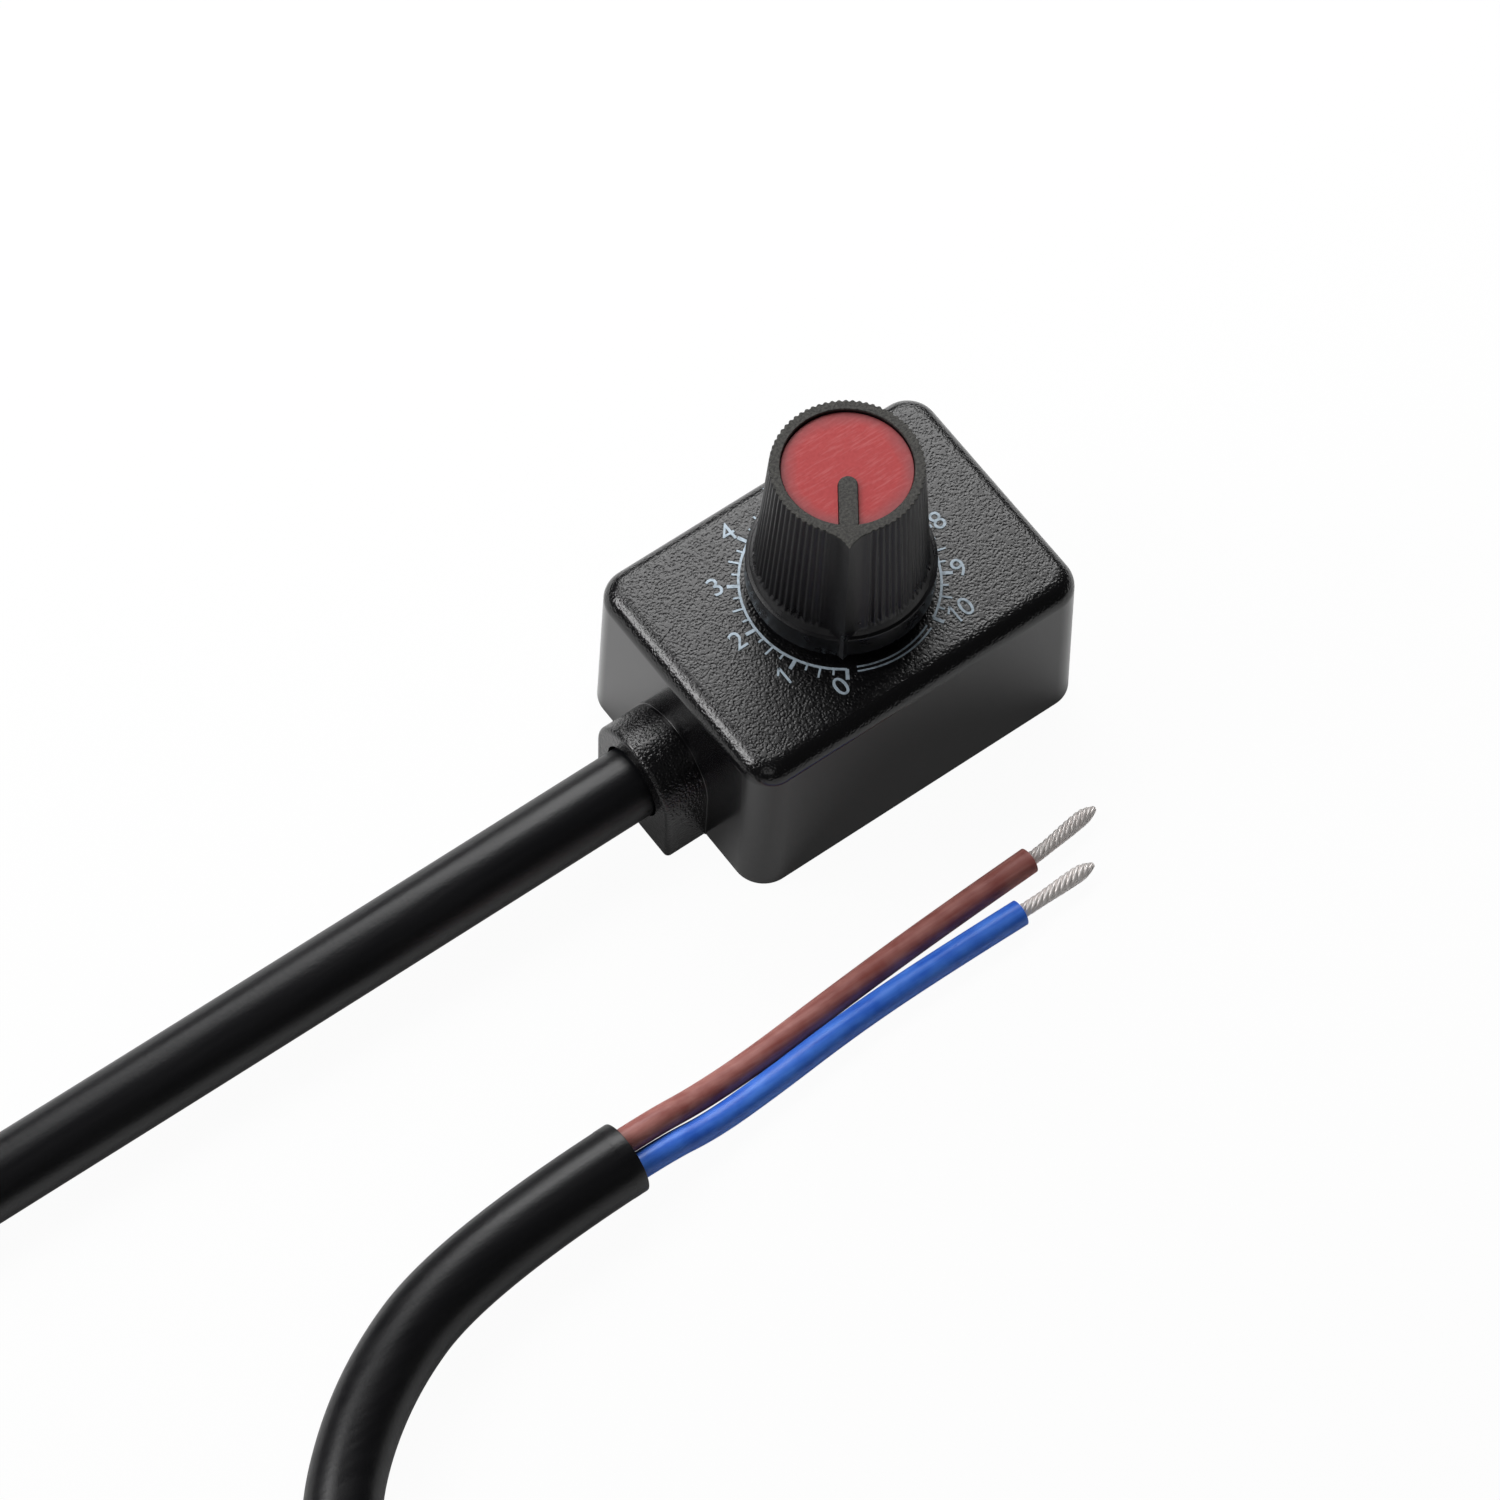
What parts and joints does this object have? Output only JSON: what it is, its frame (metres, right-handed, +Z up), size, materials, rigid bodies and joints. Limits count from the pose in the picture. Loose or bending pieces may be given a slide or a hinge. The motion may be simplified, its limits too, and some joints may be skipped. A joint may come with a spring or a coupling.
{
  "type": "rotary dimmer",
  "caption": "Small surface-mounted rotary dimmer: drafted plastic case, fluted pointer knob with a red cap over a printed dial, and a two-core lead with bared ends.",
  "frame": {"origin": "centre of the case's underside, on the surface it stands on", "axes": "+Z up along the knob's axis; +X along the case, away from the cable; +Y across the case"},
  "size_m": [0.1664, 0.0836, 0.0338],
  "materials": {
    "case_plastic": "grained top, polished sides",
    "cover_plastic": "moulded, matte",
    "knob_plastic": "satin",
    "cap_plastic": "satin",
    "cable_sheath": "satin",
    "brown_insulation": "satin",
    "blue_insulation": "satin",
    "tinned_copper": "tinned, twisted",
    "screw_steel": "zinc plated",
    "plate_steel": "nickel plated",
    "bushing_zinc": "die cast",
    "shaft_aluminium": "turned",
    "terminal_brass": "tinned brass",
    "solder": "bright",
    "wafer_board": "laminated board",
    "carbon_film": "printed film",
    "silver_film": "printed film",
    "rotor_plastic": "acetal",
    "tie_nylon": "natural nylon",
    "scale_ink": "printed ink"
  },
  "bodies": {
    "case": {"case_shell": "case_plastic", "base_cover": "cover_plastic", "base_screw_1": "screw_steel", "base_screw_2": "screw_steel", "base_screw_3": "screw_steel", "base_screw_4": "screw_steel", "cable_tie": "tie_nylon", "cable_jacket": "cable_sheath", "brown_wire": "brown_insulation", "blue_wire": "blue_insulation", "brown_wire_tip": "tinned_copper", "blue_wire_tip": "tinned_copper", "brown_lead": "brown_insulation", "blue_lead": "blue_insulation", "brown_lead_strands": "tinned_copper", "blue_lead_strands": "tinned_copper", "link_wire": "tinned_copper", "pot_front_plate": "plate_steel", "pot_wafer": "wafer_board", "resistive_track": "carbon_film", "collector_ring": "silver_film", "terminal_start": "terminal_brass", "terminal_wiper": "terminal_brass", "terminal_end": "terminal_brass", "solder_start": "solder", "solder_wiper": "solder", "solder_end": "solder", "pot_can": "plate_steel", "pot_bushing": "bushing_zinc", "lock_washer": "screw_steel", "hex_nut": "plate_steel", "printed_scale": "scale_ink"},
    "knob": {"pot_shaft": "shaft_aluminium", "shaft_clip": "screw_steel", "pot_rotor": "rotor_plastic", "wiper": "terminal_brass", "knob_body": "knob_plastic", "knob_cap": "cap_plastic"}
  },
  "joints": [
    {"name": "knob_turn", "type": "hinge", "parent": "case", "child": "knob", "pos_m": [0, 0, 0.0167], "axis": [0, 0, -1], "range_deg": [0, 298]}
  ]
}
